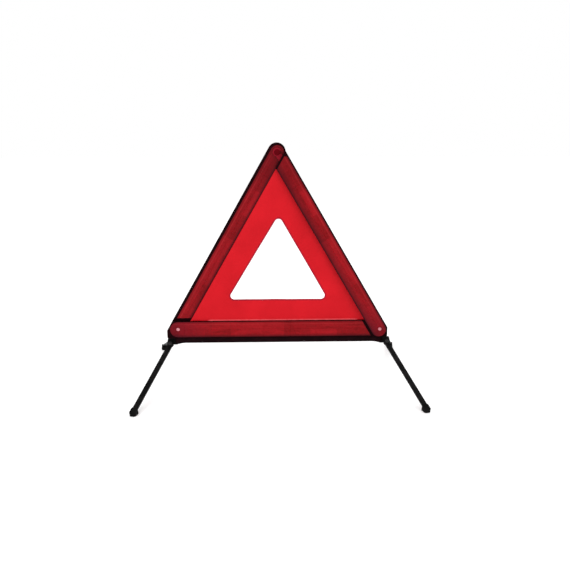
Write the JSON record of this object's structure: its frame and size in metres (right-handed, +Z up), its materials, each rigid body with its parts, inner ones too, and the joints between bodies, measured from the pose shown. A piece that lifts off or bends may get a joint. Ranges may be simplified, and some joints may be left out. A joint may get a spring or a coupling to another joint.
{
  "type": "folding warning triangle",
  "caption": "Free-standing folding roadside warning triangle: reflector arms round a fluorescent sheet with an open middle, on splayed folding legs with rubber feet.",
  "frame": {"origin": "on the floor, in the middle of the four feet, below the bottom arm", "axes": "+X to the right seen from the front, -Y towards the viewer, +Z up"},
  "size_m": [0.532, 0.3508, 0.4615],
  "materials": {
    "black_plastic": "fine grain",
    "red_lens": "prismatic reflector",
    "black_paint": "satin",
    "bright_rivet": "satin",
    "nylon": "matte",
    "dark_steel": "blackened",
    "fluorescent_red": "coated fabric",
    "dark_red_plastic": "moulded",
    "hook_plastic": "moulded",
    "black_rubber": "matte"
  },
  "bodies": {
    "base": {"bottom_arm_shell": "black_plastic", "bottom_arm_lens": "red_lens", "base_channel": "black_paint", "left_end_bracket": "black_paint", "right_end_bracket": "black_paint", "left_pivot_rivet": "bright_rivet", "right_pivot_rivet": "bright_rivet", "left_pivot_washer": "nylon", "right_pivot_washer": "nylon", "leg_rivets": "dark_steel", "leg_washers": "nylon", "fluorescent_sheet": "fluorescent_red"},
    "left_arm": {"left_arm_shell": "black_plastic", "left_arm_lens": "red_lens", "apex_stud": "dark_red_plastic"},
    "right_arm": {"right_arm_shell": "black_plastic", "right_arm_lens": "red_lens", "apex_hook": "hook_plastic"},
    "front_left_leg": {"front_left_leg": "black_paint", "front_left_foot": "black_rubber"},
    "front_right_leg": {"front_right_leg": "black_paint", "front_right_foot": "black_rubber"},
    "rear_left_leg": {"rear_left_leg": "black_paint", "rear_left_foot": "black_rubber"},
    "rear_right_leg": {"rear_right_leg": "black_paint", "rear_right_foot": "black_rubber"}
  },
  "joints": [
    {"name": "left_arm_fold", "type": "hinge", "parent": "base", "child": "left_arm", "pos_m": [-0.198, 0.0082, 0.103], "axis": [0, 0.9999, 0.013], "range_deg": [0, 60.2], "deforming": ["fluorescent_sheet"]},
    {"name": "right_arm_fold", "type": "hinge", "parent": "base", "child": "right_arm", "pos_m": [0.198, -0.0082, 0.103], "axis": [0, -0.9999, 0.013], "range_deg": [0, 59.57]},
    {"name": "front_left_leg_fold", "type": "hinge", "parent": "base", "child": "front_left_leg", "pos_m": [-0.213, -0.012, 0.0742], "axis": [0, -0.3999, 0.9165], "range_deg": [0, 105.3]},
    {"name": "front_right_leg_fold", "type": "hinge", "parent": "base", "child": "front_right_leg", "pos_m": [0.213, -0.012, 0.0742], "axis": [0, 0.3999, -0.9165], "range_deg": [0, 105.3]},
    {"name": "rear_left_leg_fold", "type": "hinge", "parent": "base", "child": "rear_left_leg", "pos_m": [-0.213, 0.012, 0.0742], "axis": [0, -0.3969, -0.9179], "range_deg": [0, 103.6]},
    {"name": "rear_right_leg_fold", "type": "hinge", "parent": "base", "child": "rear_right_leg", "pos_m": [0.213, 0.012, 0.0742], "axis": [0, 0.3969, 0.9179], "range_deg": [0, 103.6]}
  ],
  "couplings": [
    {"joint": "right_arm_fold", "follows": "left_arm_fold", "ratio": 0.98916}
  ]
}
